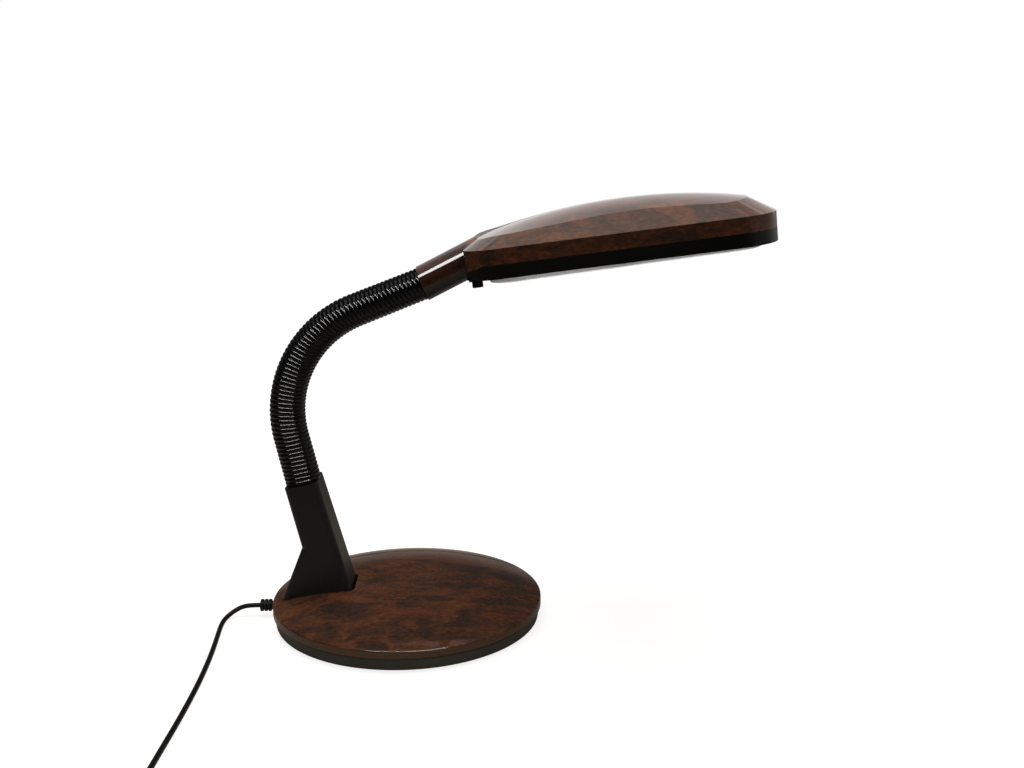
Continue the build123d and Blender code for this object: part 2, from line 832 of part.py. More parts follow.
with BuildPart() as tube_pins:
    with BuildSketch(head_across(tube_cap_rear)):
        with Locations(pin_places):
            Circle(tube_pin_radius)
    extrude(amount=-tube_pin_length)
save(tube_pins, "tube_pins")

# Twin glass tube with rounded tips and a bridge near the tips
tube_start = tube_cap_rear + tube_cap_length
tube_stop = tube_start + tube_length
with BuildPart() as lamp_tube:
    with BuildSketch(head_across(tube_start)):
        with Locations(pin_places):
            Circle(tube_radius)
    extrude(amount=tube_length)
    tips = lamp_tube.faces().sort_by(Axis(head.origin, head.x_dir))[-2:]
    fillet(tips.edges(), tube_radius * tube_tip_share)
    bridge_place = head.from_local_coords((tube_stop - tube_bridge_inset, -tube_half_pitch, tube_height))
    with BuildSketch(Plane(origin=bridge_place, x_dir=head.x_dir, z_dir=head.y_dir)):
        Circle(tube_bridge_radius)
    extrude(amount=2 * tube_half_pitch)
save(lamp_tube, "lamp_tube")

# Clip under the reflector that holds the tube's far end
with BuildPart() as tube_clip:
    with BuildSketch(head_across(clip_place)):
        with Locations((0, (tube_height + reflector_top - reflector_sheet) / 2)):
            Rectangle(2 * clip_half_width, reflector_top - reflector_sheet - tube_height)
        with Locations(pin_places):
            Circle(tube_radius + fit_gap, mode=Mode.SUBTRACT)
    extrude(amount=clip_length)
save(tube_clip, "tube_clip")

# Ballast board on spacers above the reflector
spacer_places = []
for along in (board_rear + spacer_inset, board_rear + board_length - spacer_inset):
    for side in (-1, 1):
        spacer_places.append((along, side * (board_half_width - spacer_inset)))
with BuildPart() as board_spacers:
    with BuildSketch(head.offset(reflector_top)):
        with Locations(spacer_places):
            Circle(spacer_radius)
    extrude(amount=spacer_height)
save(board_spacers, "board_spacers")

board_base = reflector_top + spacer_height
board_top = board_base + board_thickness
with BuildPart() as ballast_board:
    with BuildSketch(head.offset(board_base)):
        with Locations((board_rear + board_length / 2, 0)):
            Rectangle(board_length, 2 * board_half_width)
    extrude(amount=board_thickness)
save(ballast_board, "ballast_board")

choke_length, choke_width, choke_height = choke_size
with BuildPart() as ballast_choke:
    with BuildSketch(head.offset(board_top)):
        with Locations((board_rear + board_length * choke_share, 0)):
            RectangleRounded(choke_length, choke_width, spacer_radius)
    extrude(amount=choke_height)
save(ballast_choke, "ballast_choke")

with BuildPart() as ballast_capacitor:
    with BuildSketch(head_across(board_rear + board_length * capacitor_share)):
        with Locations((0, board_top + capacitor_radius)):
            Circle(capacitor_radius)
    extrude(amount=capacitor_length)
save(ballast_capacitor, "ballast_capacitor")

# Push switch: a case let into the frame and a button that slides in its well
with BuildPart() as switch_case:
    with BuildSketch(head.offset(switch_low)):
        with Locations((switch_middle, 0)):
            Rectangle(2 * switch_half_length, 2 * switch_half_width)
    extrude(amount=switch_high - switch_low)
    with BuildSketch(head.offset(switch_low)):
        with Locations((switch_middle, 0)):
            Rectangle(2 * (switch_half_length - switch_wall), 2 * (switch_half_width - switch_wall))
    extrude(amount=well_top - switch_low, mode=Mode.SUBTRACT)
save(switch_case, "switch_case")

button_half_length = switch_half_length - switch_wall - slide_gap
button_half_width = switch_half_width - switch_wall - slide_gap
with BuildPart() as switch_button:
    with BuildSketch(head.offset(button_low)):
        with Locations((switch_middle, 0)):
            RectangleRounded(2 * button_half_length, 2 * button_half_width, button_radius)
    extrude(amount=button_high - button_low)
    fillet(switch_button.faces().sort_by(Axis(head.origin, head.z_dir))[0].edges(), button_radius / 2)
save(switch_button, "switch_button")

# The cord's free stretch from the gland to its coil
route = [Vector(*point) for point in cord_route]
corner_radii = []
for before, corner, after in zip(route, route[1:], route[2:]):
    run = min((corner - before).length, (after - corner).length)
    half_turn = math.radians((corner - before).get_angle(after - corner)) / 2
    corner_radii.append(cord_corner_share * run / math.tan(half_turn))
print("cord radii", [round(radius, 1) for radius in corner_radii])
with BuildPart() as power_cord:
    with BuildLine() as cord_line:
        FilletPolyline(*route, radius=corner_radii)
    with BuildSketch(Plane(origin=route[0], z_dir=route[1] - route[0])):
        Circle(cord_radius)
    sweep()
cord_length = sum(edge.length for edge in cord_line.edges())
print("cord length", round(cord_length, 1))
save(power_cord, "power_cord")

# The put-away length: a flat coil in two layers that winds in, climbs and winds out
coil_step = 2 * cord_radius + coil_gap
coil_start = route[-1]
coil_low = coil_start.Z
coil_high = coil_low + coil_step
coil_row = coil_start.Y - 2 * cord_radius
turn_ends = []
half_radii = [coil_outer_radius - coil_step / 2 * k for k in range(coil_half_turns + 1)]
half_radii += half_radii[-2::-1]
end_x = coil_start.X
way = 1
for half_radius in half_radii:
    turn_ends.append((end_x, end_x + way * 2 * half_radius, half_radius, way))
    end_x += way * 2 * half_radius
    way = -way
with BuildPart() as cord_coil:
    with BuildLine() as coil_line:
        Line(coil_start, (coil_start.X, coil_row, coil_low))
        for number, (from_x, to_x, half_radius, way) in enumerate(turn_ends):
            from_height = coil_low if number <= coil_half_turns else coil_high
            to_height = coil_low if number < coil_half_turns else coil_high
            bulge = math.hypot(half_radius, (to_height - from_height) / 2)
            ThreePointArc(
                (from_x, coil_row, from_height),
                ((from_x + to_x) / 2, coil_row - way * bulge, (from_height + to_height) / 2),
                (to_x, coil_row, to_height),
            )
        tail_middle = coil_tail_radius * math.sqrt(0.5)
        tail_x = end_x + coil_tail_radius
        tail_row = coil_row + coil_tail_radius
        ThreePointArc(
            (end_x, coil_row, coil_high),
            (tail_x - tail_middle, coil_row + tail_middle, coil_high),
            (tail_x, tail_row, coil_high),
        )
        Line((tail_x, tail_row, coil_high), (tail_x + coil_tail_run, tail_row, coil_high))
    with BuildSketch(Plane(origin=coil_start, z_dir=(0, -1, 0))):
        Circle(cord_radius)
    sweep()
coil_edges = coil_line.edges()
coil_points = []
walked = 0
for edge in coil_edges:
    steps = max(2, round(edge.length / cord_radius))
    coil_points += [(walked + edge.length * k / steps, edge @ (k / steps)) for k in range(steps)]
    walked += edge.length
apart = math.pi * half_radii[coil_half_turns]
least_gap = min(
    (second - first).length
    for start_at, first in coil_points
    for end_at, second in coil_points
    if end_at - start_at > apart
)
print("coil length", round(walked, 1), "least gap", round(least_gap - 2 * cord_radius, 2))
save(cord_coil, "cord_coil")

# Flat tie round the coil's bundle on its far side
bundle_x = coil_start.X + coil_outer_radius
bundle_outer = coil_row - coil_outer_radius - coil_step / 2 - cord_radius - tie_gap
bundle_inner = coil_row - half_radii[coil_half_turns] + cord_radius + tie_gap
bundle_low = coil_low - cord_radius - tie_gap
bundle_high = coil_high + cord_radius + tie_gap
tie_middle = ((bundle_outer + bundle_inner) / 2, (bundle_low + bundle_high) / 2)
with BuildPart() as coil_tie:
    with BuildSketch(Plane.YZ.offset(bundle_x - tie_width / 2)):
        with Locations(tie_middle):
            Rectangle(
                bundle_inner - bundle_outer + 2 * tie_thickness, bundle_high - bundle_low + 2 * tie_thickness
            )
            Rectangle(bundle_inner - bundle_outer, bundle_high - bundle_low, mode=Mode.SUBTRACT)
    extrude(amount=tie_width)
save(coil_tie, "coil_tie")

# Two-blade plug lying beside the coil
plug_x = tail_x + coil_tail_run
plug_body_x = plug_x + plug_tail_length
with BuildPart() as plug_body:
    with BuildSketch(Plane.YZ.offset(plug_x)):
        with Locations((tail_row, coil_high)):
            Circle(plug_tail_radius)
    with BuildSketch(Plane.YZ.offset(plug_body_x)):
        with Locations((tail_row, coil_high)):
            Circle(plug_tail_radius + fit_gap)
    loft()
    with BuildSketch(Plane.YZ.offset(plug_body_x)):
        with Locations((tail_row, coil_high)):
            RectangleRounded(2 * plug_half_width, 2 * coil_high, plug_tail_radius)
    extrude(amount=plug_length)
save(plug_body, "plug_body")

with BuildPart() as plug_blades:
    with BuildSketch(Plane.YZ.offset(plug_body_x + plug_length)):
        with Locations((tail_row, coil_high)):
            with GridLocations(blade_spacing, 0, 2, 1):
                Rectangle(blade_thickness, blade_width)
    extrude(amount=blade_length)
save(plug_blades, "plug_blades")
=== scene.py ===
import bpy
import math
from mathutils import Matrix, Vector


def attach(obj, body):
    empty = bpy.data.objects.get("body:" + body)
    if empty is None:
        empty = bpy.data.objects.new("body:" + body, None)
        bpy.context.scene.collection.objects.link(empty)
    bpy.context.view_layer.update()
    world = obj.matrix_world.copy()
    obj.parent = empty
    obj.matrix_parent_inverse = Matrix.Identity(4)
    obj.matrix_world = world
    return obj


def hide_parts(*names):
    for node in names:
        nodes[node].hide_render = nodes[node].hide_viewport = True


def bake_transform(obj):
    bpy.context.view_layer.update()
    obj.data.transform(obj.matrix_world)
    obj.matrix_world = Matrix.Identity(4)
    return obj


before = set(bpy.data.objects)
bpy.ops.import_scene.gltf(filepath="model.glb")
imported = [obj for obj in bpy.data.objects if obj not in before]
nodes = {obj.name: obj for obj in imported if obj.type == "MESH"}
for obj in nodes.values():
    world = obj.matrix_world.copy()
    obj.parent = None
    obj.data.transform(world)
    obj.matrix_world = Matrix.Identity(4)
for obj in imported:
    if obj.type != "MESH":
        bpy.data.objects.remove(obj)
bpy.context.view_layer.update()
scene = bpy.context.scene
scene.view_settings.view_transform = "Standard"

# The view: a camera standing in front of the table, a little above the lamp,
# turned down so that the base's oval and the underside of the head both show.
lens_mm = 32.66
camera_spot = Vector((0.0723, -0.7786, 0.3967))
camera_target = Vector((0.094, 0.0, 0.214))
camera_data = bpy.data.cameras.new("photo_camera")
camera_data.lens = lens_mm
camera_data.sensor_width = 36.0
camera = bpy.data.objects.new("photo_camera", camera_data)
camera.location = camera_spot
camera.rotation_euler = (camera_target - camera_spot).to_track_quat("-Z", "Y").to_euler()
scene.collection.objects.link(camera)
scene.camera = camera

# The studio: a table top and backdrop that look white to the camera, and a dim
# room with a bright ceiling that the lacquer mirrors. The table is clear from
# below, so that the underside of the base can be looked at.
floor_half = 6.0
table_drop = 0.0002
floor_mesh = bpy.data.meshes.new("table_top")
floor_mesh.from_pydata(
    [(-floor_half, -floor_half, 0), (floor_half, -floor_half, 0), (floor_half, floor_half, 0),
     (-floor_half, floor_half, 0)],
    [],
    [(0, 1, 2, 3)],
)
floor = bpy.data.objects.new("table_top", floor_mesh)
floor.location.z = -table_drop
scene.collection.objects.link(floor)


def new_finish(name):
    """A fresh material with its principled shader and a place to add nodes."""
    finish = bpy.data.materials.new(name)
    finish.use_nodes = True
    tree = finish.node_tree
    shader = tree.nodes["Principled BSDF"]
    return finish, tree, shader


table_white, tree, shader = new_finish("table_white")
shader.inputs["Roughness"].default_value = 0.9
shader.inputs["Specular IOR Level"].default_value = 0.0
table_spots = tree.nodes.new("ShaderNodeTexCoord")
reach = tree.nodes.new("ShaderNodeVectorMath")
reach.operation = "LENGTH"
table_tone = tree.nodes.new("ShaderNodeMapRange")
table_tone.inputs["From Min"].default_value = 0.3
table_tone.inputs["From Max"].default_value = 1.0
table_tone.inputs["To Min"].default_value = 1.0
table_tone.inputs["To Max"].default_value = 0.2
table_colour = tree.nodes.new("ShaderNodeVectorMath")
table_colour.operation = "SCALE"
table_colour.inputs["Vector"].default_value = (0.34, 0.31, 0.26)
tree.links.new(table_spots.outputs["Object"], reach.inputs[0])
tree.links.new(reach.outputs["Value"], table_tone.inputs["Value"])
tree.links.new(table_tone.outputs["Result"], table_colour.inputs["Scale"])
tree.links.new(table_colour.outputs["Vector"], shader.inputs["Base Color"])


def band(tree, source, low, high, first, last):
    """A soft step from one value to another along a source."""
    step = tree.nodes.new("ShaderNodeMapRange")
    step.interpolation_type = "SMOOTHSTEP"
    step.inputs["From Min"].default_value = low
    step.inputs["From Max"].default_value = high
    step.inputs["To Min"].default_value = first
    step.inputs["To Max"].default_value = last
    tree.links.new(source, step.inputs["Value"])
    return step.outputs["Result"]


def combine(tree, operation, first, second):
    """One sum, product or the like of two sources."""
    node = tree.nodes.new("ShaderNodeMath")
    node.operation = operation
    tree.links.new(first, node.inputs[0])
    tree.links.new(second, node.inputs[1])
    return node.outputs[0]


def paint_over(tree, under, share, colour):
    """A colour laid over a source by a share."""
    mix = tree.nodes.new("ShaderNodeMix")
    mix.data_type = "RGBA"
    mix.inputs["B"].default_value = colour
    tree.links.new(share, mix.inputs["Factor"])
    tree.links.new(under, mix.inputs["A"])
    return mix.outputs["Result"]


ray = tree.nodes.new("ShaderNodeLightPath")
glow = tree.nodes.new("ShaderNodeEmission")
glow.inputs["Color"].default_value = (1, 1, 1, 1)
paper = band(tree, reach.outputs["Value"], 0.22, 0.5, 0.84, 1.0)
paper_seen = combine(tree, "MULTIPLY", paper, ray.outputs["Is Camera Ray"])
tree.links.new(paper_seen, glow.inputs["Strength"])
lit_paper = tree.nodes.new("ShaderNodeAddShader")
tree.links.new(shader.outputs["BSDF"], lit_paper.inputs[0])
tree.links.new(glow.outputs["Emission"], lit_paper.inputs[1])
table_side = tree.nodes.new("ShaderNodeNewGeometry")
see_through = tree.nodes.new("ShaderNodeBsdfTransparent")
one_sided = tree.nodes.new("ShaderNodeMixShader")
tree.links.new(table_side.outputs["Backfacing"], one_sided.inputs["Fac"])
tree.links.new(lit_paper.outputs["Shader"], one_sided.inputs[1])
tree.links.new(see_through.outputs["BSDF"], one_sided.inputs[2])
tree.links.new(one_sided.outputs["Shader"], tree.nodes["Material Output"].inputs["Surface"])
floor_mesh.materials.append(table_white)

world = bpy.data.worlds.new("studio")
world.use_nodes = True
scene.world = world
tree = world.node_tree
way = tree.nodes.new("ShaderNodeTexCoord")
axes = tree.nodes.new("ShaderNodeSeparateXYZ")
tree.links.new(way.outputs["Generated"], axes.inputs["Vector"])
backdrop = combine(
    tree,
    "MULTIPLY",
    band(tree, axes.outputs["Y"], -0.1, 0.5, 0.0, 0.22),
    band(tree, axes.outputs["Z"], 0.05, 0.32, 1.0, 0.15),
)
right_wall = combine(
    tree,
    "MULTIPLY",
    band(tree, axes.outputs["X"], 0.45, 0.9, 0.0, 0.2),
    band(tree, axes.outputs["Z"], 0.3, 0.6, 1.0, 0.2),
)
ceiling = band(tree, axes.outputs["Z"], 0.88, 0.97, 0.02, 1.05)
room = combine(tree, "ADD", combine(tree, "ADD", backdrop, right_wall), ceiling)
ray = tree.nodes.new("ShaderNodeLightPath")
bright = combine(tree, "MAXIMUM", room, ray.outputs["Is Camera Ray"])
tree.links.new(bright, tree.nodes["Background"].inputs["Strength"])
white_screen = tree.nodes.new("ShaderNodeMix")
white_screen.data_type = "RGBA"
white_screen.inputs["A"].default_value = (1.0, 0.97, 0.94, 1)
white_screen.inputs["B"].default_value = (1, 1, 1, 1)
tree.links.new(ray.outputs["Is Camera Ray"], white_screen.inputs["Factor"])
tree.links.new(white_screen.outputs["Result"], tree.nodes["Background"].inputs["Color"])

# Each lamp: name, place, aim, width and depth, watts, and the one piece it lights.
# The neck's hoses join the rib strip's collection when they are made. The lamps in
# mirror_only show in gloss alone and light nothing matte.
mirror_only = ("window", "front_card", "rear_card", "rib_strip", "rim_window")
lamp_plan = (
    ("ceiling_box", (0.0, 0.1, 1.9), (0.0, 0.0, 0.1), (1.3, 1.1), 27.0, None),
    ("strip_tube", (-0.1, -1.05, 1.6), (-0.1, 0.0, 0.25), (3.2, 0.08), 6.0, None),
    ("white_card", (0.3, 0.35, 0.66), (0.3, 0.0, 0.66), (1.2, 0.58), 1.72, "head_hood"),
    ("window", (-0.81, -1.05, 1.65), (0.045, 0.0, 0.315), (0.5, 0.5), 14.0, "head_hood"),
    ("front_card", (1.05, 0.0, 1.33), (1.05, 0.0, 0.0), (1.0, 1.6), 2.8, "head_hood"),
    ("rear_card", (-0.65, 0.0, 1.33), (-0.65, 0.0, 0.0), (1.0, 1.6), 2.8, "head_hood"),
    ("rib_strip", (-0.1, -1.05, 1.6), (-0.1, 0.0, 0.25), (3.2, 0.16), 90.0, "sleeve"),
    ("rim_window", (0.02, -1.3, 0.88), (0.0, -0.09, 0.02), (1.5, 0.05), 24.0, "base_cover"),
    ("table_glow", (0.2, -0.1, 0.02), (0.2, 0.0, 0.33), (0.5, 0.4), 1.7, "diffuser"),
)
for name, spot, aim, (wide, deep), power, receiver in lamp_plan:
    lamp_data = bpy.data.lights.new(name, "AREA")
    lamp_data.shape = "RECTANGLE"
    lamp_data.size = wide
    lamp_data.size_y = deep
    lamp_data.energy = power
    lamp = bpy.data.objects.new(name, lamp_data)
    lamp.location = spot
    lamp.rotation_euler = (Vector(aim) - Vector(spot)).to_track_quat("-Z", "Y").to_euler()
    lamp.visible_camera = False
    lamp.visible_diffuse = name not in mirror_only
    lamp.visible_glossy = name != "ceiling_box"
    scene.collection.objects.link(lamp)
    if receiver:
        lit = bpy.data.collections.new(name)
        if receiver in nodes:
            lit.objects.link(nodes[receiver])
        lamp.light_linking.receiver_collection = lit


def dress(finish, *names):
    """Gives CAD nodes a finish in every one of their slots."""
    for name in names:
        mesh = nodes[name].data
        mesh.materials.clear()
        mesh.materials.append(finish)


# Foam pad under the base: a die-cut sheet of black closed-cell foam, stuck to
# the pan, with a fine cell grain.
foam, tree, shader = new_finish("black_foam")
spots = tree.nodes.new("ShaderNodeTexCoord")
grain = tree.nodes.new("ShaderNodeTexNoise")
grain.inputs["Scale"].default_value = 1400
ramp = tree.nodes.new("ShaderNodeValToRGB")
ramp.color_ramp.elements[0].color = (0.008, 0.008, 0.008, 1)
ramp.color_ramp.elements[1].color = (0.03, 0.03, 0.03, 1)
bump = tree.nodes.new("ShaderNodeBump")
bump.inputs["Strength"].default_value = 0.4
bump.inputs["Distance"].default_value = 0.0003
tree.links.new(spots.outputs["Object"], grain.inputs["Vector"])
tree.links.new(grain.outputs["Fac"], ramp.inputs["Fac"])
tree.links.new(ramp.outputs["Color"], shader.inputs["Base Color"])
tree.links.new(grain.outputs["Fac"], bump.inputs["Height"])
tree.links.new(bump.outputs["Normal"], shader.inputs["Normal"])
shader.inputs["Roughness"].default_value = 0.95
dress(foam, "base_pad")


tone_drift = 0.2
gloss_drift = 0.06


def moulded(name, colour, roughness, grain_mm, depth_mm):
    """Moulded plastic: a spark-eroded grain in its gloss and a faint tone drift."""
    finish, tree, shader = new_finish(name)
    spots = tree.nodes.new("ShaderNodeTexCoord")
    grain = tree.nodes.new("ShaderNodeTexNoise")
    grain.inputs["Scale"].default_value = 1000.0 / grain_mm
    grain.inputs["Detail"].default_value = 3.0
    drift = tree.nodes.new("ShaderNodeTexNoise")
    drift.inputs["Scale"].default_value = 24.0
    tone = tree.nodes.new("ShaderNodeValToRGB")
    tone.color_ramp.elements[0].position = 0.3
    tone.color_ramp.elements[1].position = 0.7
    tone.color_ramp.elements[0].color = tuple(part * (1 - tone_drift) for part in colour) + (1,)
    tone.color_ramp.elements[1].color = tuple(part * (1 + tone_drift) for part in colour) + (1,)
    gloss = tree.nodes.new("ShaderNodeMapRange")
    gloss.inputs["To Min"].default_value = roughness - gloss_drift
    gloss.inputs["To Max"].default_value = roughness + gloss_drift
    bump = tree.nodes.new("ShaderNodeBump")
    bump.inputs["Strength"].default_value = 0.25
    bump.inputs["Distance"].default_value = depth_mm / 1000.0
    tree.links.new(spots.outputs["Object"], grain.inputs["Vector"])
    tree.links.new(spots.outputs["Object"], drift.inputs["Vector"])
    tree.links.new(drift.outputs["Fac"], tone.inputs["Fac"])
    tree.links.new(tone.outputs["Color"], shader.inputs["Base Color"])
    tree.links.new(grain.outputs["Fac"], gloss.inputs["Value"])
    tree.links.new(gloss.outputs["Result"], shader.inputs["Roughness"])
    tree.links.new(grain.outputs["Fac"], bump.inputs["Height"])
    tree.links.new(bump.outputs["Normal"], shader.inputs["Normal"])
    return finish


# Base pan: the dark grey lower tray, moulded in matte plastic, that the cover stands
# on; the thin joint between them is darkened by painted shade on the cover.
pan_plastic = moulded("pan_plastic", (0.066, 0.064, 0.049), 0.5, 0.6, 0.06)
dress(pan_plastic, "base_pan")


# Base cover: a thin crowned shell of glossy plastic with a burl wood print under
# clear lacquer, dark red-brown with grey-brown clouds. On the steep sides of the rim
# the print gives way to tan, and a painted shade line darkens the joint with the pan.
def burl_print(name, centre, turn, strength):
    """Burl print under lacquer, warped clouds and fine flecks, with its colour left to link."""
    finish, tree, shader = new_finish(name)
    spots = tree.nodes.new("ShaderNodeTexCoord")
    place = tree.nodes.new("ShaderNodeMapping")
    place.inputs["Location"].default_value = centre
    place.inputs["Rotation"].default_value = turn
    place.inputs["Scale"].default_value = (1.0, 2.2, 2.2)
    warp = tree.nodes.new("ShaderNodeTexNoise")
    warp.inputs["Scale"].default_value = 12.0
    warp.inputs["Detail"].default_value = 4.0
    push = tree.nodes.new("ShaderNodeVectorMath")
    push.operation = "MULTIPLY_ADD"
    push.inputs[1].default_value = (0.04, 0.04, 0.04)
    cloud = tree.nodes.new("ShaderNodeTexNoise")
    cloud.inputs["Scale"].default_value = 22.0
    cloud.inputs["Detail"].default_value = 6.0
    cloud.inputs["Roughness"].default_value = 0.62
    cloud.inputs["Distortion"].default_value = 0.7
    tone = tree.nodes.new("ShaderNodeValToRGB")
    steps = (
        (0.32, (0.022, 0.0150, 0.0115)),
        (0.44, (0.040, 0.0185, 0.0115)),
        (0.53, (0.070, 0.0255, 0.0125)),
        (0.66, (0.092, 0.0320, 0.0145)),
        (0.80, (0.115, 0.0420, 0.0195)),
    )
    for position, _ in steps[1:-1]:
        tone.color_ramp.elements.new(position)
    for stop, (position, colour) in zip(tone.color_ramp.elements, steps):
        stop.position = position
        stop.color = colour + (1,)
    fleck = tree.nodes.new("ShaderNodeTexNoise")
    fleck.inputs["Scale"].default_value = 220.0
    fleck.inputs["Detail"].default_value = 4.0
    fleck_tone = tree.nodes.new("ShaderNodeMapRange")
    fleck_tone.inputs["From Min"].default_value = 0.35
    fleck_tone.inputs["From Max"].default_value = 0.65
    fleck_tone.inputs["To Min"].default_value = 0.72 * strength
    fleck_tone.inputs["To Max"].default_value = 1.24 * strength
    shade = tree.nodes.new("ShaderNodeVectorMath")
    shade.operation = "SCALE"
    tree.links.new(spots.outputs["Object"], place.inputs["Vector"])
    tree.links.new(place.outputs["Vector"], warp.inputs["Vector"])
    tree.links.new(warp.outputs["Color"], push.inputs[0])
    tree.links.new(place.outputs["Vector"], push.inputs[2])
    tree.links.new(push.outputs["Vector"], cloud.inputs["Vector"])
    tree.links.new(cloud.outputs["Fac"], tone.inputs["Fac"])
    tree.links.new(place.outputs["Vector"], fleck.inputs["Vector"])
    tree.links.new(fleck.outputs["Fac"], fleck_tone.inputs["Value"])
    tree.links.new(tone.outputs["Color"], shade.inputs["Vector"])
    tree.links.new(fleck_tone.outputs["Result"], shade.inputs["Scale"])
    shader.inputs["Roughness"].default_value = 0.07
    shader.inputs["IOR"].default_value = 1.5
    return finish, tree, shader, shade.outputs["Vector"]


base_burl, tree, shader, print_colour = burl_print(
    "base_burl", centre=(0.0, 0.0, 0.0), turn=(0.0, 0.0, 0.12), strength=1.32
)
facing = tree.nodes.new("ShaderNodeNewGeometry")
facing_axes = tree.nodes.new("ShaderNodeSeparateXYZ")
rim_place = tree.nodes.new("ShaderNodeTexCoord")
rim_axes = tree.nodes.new("ShaderNodeSeparateXYZ")
tree.links.new(facing.outputs["Normal"], facing_axes.inputs["Vector"])
tree.links.new(rim_place.outputs["Object"], rim_axes.inputs["Vector"])
# Faces that stand steep, going by their normal, take a tan colour over the print.
rim_share = band(tree, facing_axes.outputs["Z"], 0.05, 0.35, 1.0, 0.0)
# A thin band at the joint's height is painted near black: painted shade in the recessed joint
# with the pan.
joint_shade_share = band(tree, rim_axes.outputs["Z"], 0.0127, 0.0133, 1.0, 0.0)
tan_rim = paint_over(tree, print_colour, rim_share, (0.12, 0.052, 0.02, 1))
joint_painted_shade = paint_over(tree, tan_rim, joint_shade_share, (0.002, 0.002, 0.002, 1))
tree.links.new(joint_painted_shade, shader.inputs["Base Color"])
dress(base_burl, "base_cover")

# Iron slab, screws, nut, ring and terminal block: hidden ironwork and fittings of
# the base and neck, cast, zinc plated or moulded.
iron = moulded("cast_iron", (0.05, 0.05, 0.052), 0.75, 1.2, 0.3)
iron.node_tree.nodes["Principled BSDF"].inputs["Metallic"].default_value = 0.8
dress(iron, "base_weight")
zinc = moulded("zinc_steel", (0.55, 0.55, 0.54), 0.35, 0.4, 0.02)
zinc.node_tree.nodes["Principled BSDF"].inputs["Metallic"].default_value = 1.0
dress(zinc, "base_screws", "boot_screws", "neck_nut", "neck_ring", "head_screws")
link_total = 9
dress(zinc, *[f"neck_link_{number}" for number in range(link_total)])
white_plastic = moulded("white_plastic", (0.75, 0.75, 0.72), 0.4, 0.5, 0.03)
dress(white_plastic, "terminal_block", "lamp_holder", "tube_cap", "tube_clip", "board_spacers")

# Boot: the black moulding that leans back from the base and carries the neck,
# satin with a fine grain, screwed to the slab from below.
boot_black = moulded("boot_black", (0.005, 0.005, 0.0044), 0.4, 0.5, 0.04)
dress(boot_black, "boot")

# Neck sleeve: a soft black corrugated hose over the bendable conduit, a ring about
# every 3.7 millimetres, a little thinner at the head than at the boot.
neck_foot = Vector((-0.0887, 0.0, 0.1285))
neck_lean = math.radians(102)
neck_first_run = 0.0405
neck_bend_radius = 0.0972
neck_bend_turn = math.radians(80.6)
neck_last_run = 0.0609
neck_bend_run = neck_bend_radius * neck_bend_turn
neck_length = neck_first_run + neck_bend_run + neck_last_run
rib_total = 64
ribs_per_piece = 8
piece_total = rib_total // ribs_per_piece
line_steps = 64
rings_per_rib = 16
hose_sides = 72
sleeve_foot_radius = 0.0156
sleeve_head_radius = 0.0138
groove_depth = 0.0008


def neck_point(distance):
    """A point on the neck's line, a distance from its foot."""
    straight = min(distance, neck_first_run)
    along = min(max(distance - neck_first_run, 0.0), neck_bend_run)
    ending = max(distance - neck_first_run - neck_bend_run, 0.0)
    heading = neck_lean - along / neck_bend_radius
    x = straight * math.cos(neck_lean) + ending * math.cos(heading)
    z = straight * math.sin(neck_lean) + ending * math.sin(heading)
    x += neck_bend_radius * (math.sin(neck_lean) - math.sin(heading))
    z += neck_bend_radius * (math.cos(heading) - math.cos(neck_lean))
    return neck_foot + Vector((x, 0.0, z))


hose_tree = bpy.data.node_groups.new("ribbed_hose", "GeometryNodeTree")
hose_tree.interface.new_socket("Geometry", in_out="INPUT", socket_type="NodeSocketGeometry")
hose_tree.interface.new_socket("Geometry", in_out="OUTPUT", socket_type="NodeSocketGeometry")
hose_inputs = {}
for label, kind in (
    ("Ribs", "NodeSocketInt"),
    ("Rings per rib", "NodeSocketInt"),
    ("Sides", "NodeSocketInt"),
    ("Start radius", "NodeSocketFloat"),
    ("End radius", "NodeSocketFloat"),
    ("Groove depth", "NodeSocketFloat"),
    ("Finish", "NodeSocketMaterial"),
):
    socket = hose_tree.interface.new_socket(label, in_out="INPUT", socket_type=kind)
    hose_inputs[label] = socket.identifier
make = hose_tree.nodes.new
join = hose_tree.links.new
given = make("NodeGroupInput")
result = make("NodeGroupOutput")
ring_count = make("ShaderNodeMath")
ring_count.operation = "MULTIPLY_ADD"
ring_count.inputs[2].default_value = 1
even = make("GeometryNodeResampleCurve")
along = make("GeometryNodeSplineParameter")
phase = make("ShaderNodeMath")
phase.operation = "MULTIPLY"
wrapped = make("ShaderNodeMath")
wrapped.operation = "FRACT"
centred = make("ShaderNodeMath")
centred.operation = "SUBTRACT"
centred.inputs[1].default_value = 0.5
folded = make("ShaderNodeMath")
folded.operation = "ABSOLUTE"
doubled = make("ShaderNodeMath")
doubled.operation = "MULTIPLY"
doubled.inputs[1].default_value = 2.0
rounded = make("ShaderNodeMath")
rounded.operation = "POWER"
rounded.inputs[1].default_value = 2.0
cut = make("ShaderNodeMath")
cut.operation = "MULTIPLY"
taper = make("ShaderNodeMapRange")
radius = make("ShaderNodeMath")
radius.operation = "SUBTRACT"
circle = make("GeometryNodeCurvePrimitiveCircle")
circle.inputs["Radius"].default_value = 1.0
skin = make("GeometryNodeCurveToMesh")
skin.inputs["Fill Caps"].default_value = True
painted = make("GeometryNodeSetMaterial")
real = make("GeometryNodeRealizeInstances")
join(given.outputs["Ribs"], ring_count.inputs[0])
join(given.outputs["Rings per rib"], ring_count.inputs[1])
join(given.outputs["Geometry"], even.inputs["Curve"])
join(ring_count.outputs[0], even.inputs["Count"])
join(along.outputs["Factor"], phase.inputs[0])
join(given.outputs["Ribs"], phase.inputs[1])
join(phase.outputs[0], wrapped.inputs[0])
join(wrapped.outputs[0], centred.inputs[0])
